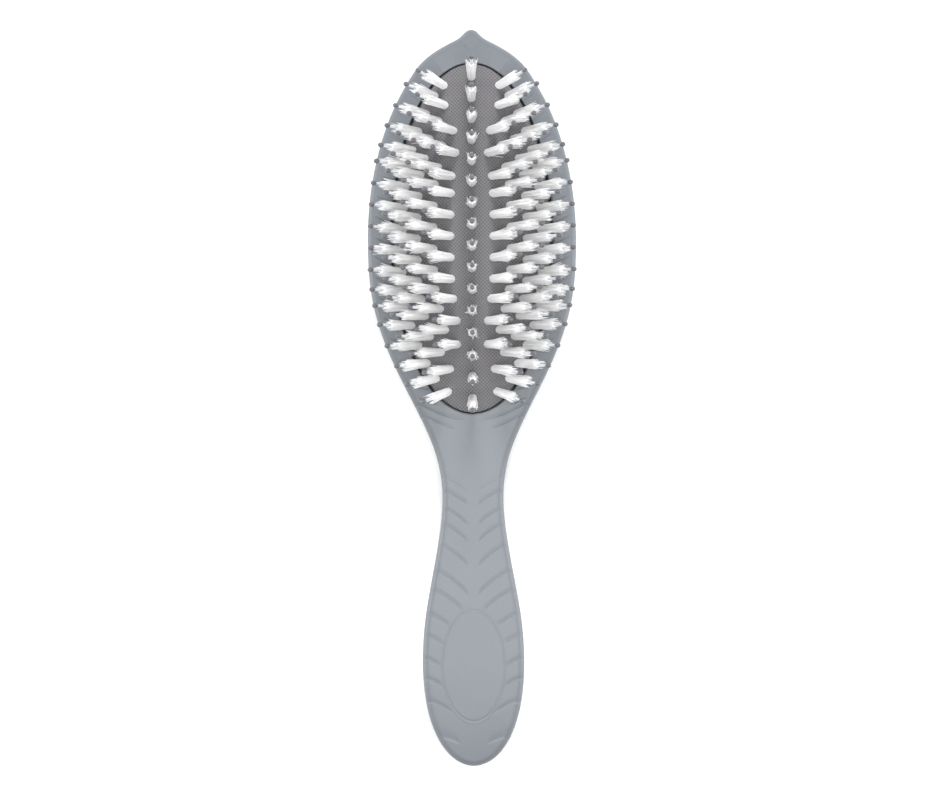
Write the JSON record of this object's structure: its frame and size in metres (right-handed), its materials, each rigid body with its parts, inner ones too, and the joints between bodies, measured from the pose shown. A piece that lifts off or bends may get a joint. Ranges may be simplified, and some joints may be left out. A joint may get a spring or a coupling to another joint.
{
  "type": "detangling brush",
  "caption": "Cushion hairbrush with a leaf-shaped one-piece body, a domed oval rubber pad, and chevron rows of bristle tufts with beaded pins that sink into the pad when pressed.",
  "frame": {"origin": "on the flat of the back, under the centre of the oval cushion", "axes": "+Y along the brush from the handle to the tip of the leaf, +Z the way the pins point, X across"},
  "size_m": [0.065, 0.23, 0.0405],
  "materials": {
    "body_plastic": "satin moulded",
    "pad_rubber": "matt, finely dotted",
    "bristle_nylon": "bundled filaments",
    "pin_nylon": "translucent nylon",
    "bead_coating": "dipped bead"
  },
  "bodies": {
    "brush_body": {"leaf_body": "body_plastic", "cushion_pad": "pad_rubber"},
    "row_01": {"tuft_row_01": "bristle_nylon", "pin_row_01": "pin_nylon", "bead_row_01": "bead_coating"},
    "row_02": {"tuft_row_02": "bristle_nylon", "pin_row_02": "pin_nylon", "bead_row_02": "bead_coating"},
    "row_03": {"tuft_row_03": "bristle_nylon", "pin_row_03": "pin_nylon", "bead_row_03": "bead_coating"},
    "row_04": {"tuft_row_04": "bristle_nylon", "pin_row_04": "pin_nylon", "bead_row_04": "bead_coating"},
    "row_05": {"tuft_row_05": "bristle_nylon", "pin_row_05": "pin_nylon", "bead_row_05": "bead_coating"},
    "row_06": {"tuft_row_06": "bristle_nylon", "pin_row_06": "pin_nylon", "bead_row_06": "bead_coating"},
    "row_07": {"tuft_row_07": "bristle_nylon", "pin_row_07": "pin_nylon", "bead_row_07": "bead_coating"},
    "row_08": {"tuft_row_08": "bristle_nylon", "pin_row_08": "pin_nylon", "bead_row_08": "bead_coating"},
    "row_09": {"tuft_row_09": "bristle_nylon", "pin_row_09": "pin_nylon", "bead_row_09": "bead_coating"},
    "row_10": {"tuft_row_10": "bristle_nylon", "pin_row_10": "pin_nylon", "bead_row_10": "bead_coating"},
    "row_11": {"tuft_row_11": "bristle_nylon", "pin_row_11": "pin_nylon", "bead_row_11": "bead_coating"},
    "row_12": {"tuft_row_12": "bristle_nylon", "pin_row_12": "pin_nylon", "bead_row_12": "bead_coating"},
    "row_13": {"tuft_row_13": "bristle_nylon", "pin_row_13": "pin_nylon", "bead_row_13": "bead_coating"},
    "row_14": {"tuft_row_14": "bristle_nylon", "pin_row_14": "pin_nylon", "bead_row_14": "bead_coating"},
    "row_15": {"tuft_row_15": "bristle_nylon", "pin_row_15": "pin_nylon", "bead_row_15": "bead_coating"},
    "row_16": {"tuft_row_16": "bristle_nylon", "pin_row_16": "pin_nylon", "bead_row_16": "bead_coating"}
  },
  "joints": [
    {"name": "row_01_sink", "type": "slide", "parent": "brush_body", "child": "row_01", "axis": [0, 0, -1], "range_m": [0, 0.0025], "stiffness_N_per_m": 120, "deforming": ["cushion_pad"]},
    {"name": "row_02_sink", "type": "slide", "parent": "brush_body", "child": "row_02", "axis": [0, 0, -1], "range_m": [0, 0.0025], "stiffness_N_per_m": 360, "deforming": ["cushion_pad"]},
    {"name": "row_03_sink", "type": "slide", "parent": "brush_body", "child": "row_03", "axis": [0, 0, -1], "range_m": [0, 0.0025], "stiffness_N_per_m": 600, "deforming": ["cushion_pad"]},
    {"name": "row_04_sink", "type": "slide", "parent": "brush_body", "child": "row_04", "axis": [0, 0, -1], "range_m": [0, 0.0025], "stiffness_N_per_m": 840, "deforming": ["cushion_pad"]},
    {"name": "row_05_sink", "type": "slide", "parent": "brush_body", "child": "row_05", "axis": [0, 0, -1], "range_m": [0, 0.0025], "stiffness_N_per_m": 1080, "deforming": ["cushion_pad"]},
    {"name": "row_06_sink", "type": "slide", "parent": "brush_body", "child": "row_06", "axis": [0, 0, -1], "range_m": [0, 0.0025], "stiffness_N_per_m": 1080, "deforming": ["cushion_pad"]},
    {"name": "row_07_sink", "type": "slide", "parent": "brush_body", "child": "row_07", "axis": [0, 0, -1], "range_m": [0, 0.0025], "stiffness_N_per_m": 1080, "deforming": ["cushion_pad"]},
    {"name": "row_08_sink", "type": "slide", "parent": "brush_body", "child": "row_08", "axis": [0, 0, -1], "range_m": [0, 0.0025], "stiffness_N_per_m": 1080, "deforming": ["cushion_pad"]},
    {"name": "row_09_sink", "type": "slide", "parent": "brush_body", "child": "row_09", "axis": [0, 0, -1], "range_m": [0, 0.0025], "stiffness_N_per_m": 1080, "deforming": ["cushion_pad"]},
    {"name": "row_10_sink", "type": "slide", "parent": "brush_body", "child": "row_10", "axis": [0, 0, -1], "range_m": [0, 0.0025], "stiffness_N_per_m": 1080, "deforming": ["cushion_pad"]},
    {"name": "row_11_sink", "type": "slide", "parent": "brush_body", "child": "row_11", "axis": [0, 0, -1], "range_m": [0, 0.0025], "stiffness_N_per_m": 1080, "deforming": ["cushion_pad"]},
    {"name": "row_12_sink", "type": "slide", "parent": "brush_body", "child": "row_12", "axis": [0, 0, -1], "range_m": [0, 0.0025], "stiffness_N_per_m": 1080, "deforming": ["cushion_pad"]},
    {"name": "row_13_sink", "type": "slide", "parent": "brush_body", "child": "row_13", "axis": [0, 0, -1], "range_m": [0, 0.0025], "stiffness_N_per_m": 1080, "deforming": ["cushion_pad"]},
    {"name": "row_14_sink", "type": "slide", "parent": "brush_body", "child": "row_14", "axis": [0, 0, -1], "range_m": [0, 0.0025], "stiffness_N_per_m": 1080, "deforming": ["cushion_pad"]},
    {"name": "row_15_sink", "type": "slide", "parent": "brush_body", "child": "row_15", "axis": [0, 0, -1], "range_m": [0, 0.0025], "stiffness_N_per_m": 1080, "deforming": ["cushion_pad"]},
    {"name": "row_16_sink", "type": "slide", "parent": "brush_body", "child": "row_16", "axis": [0, 0, -1], "range_m": [0, 0.0025], "stiffness_N_per_m": 1080, "deforming": ["cushion_pad"]}
  ]
}
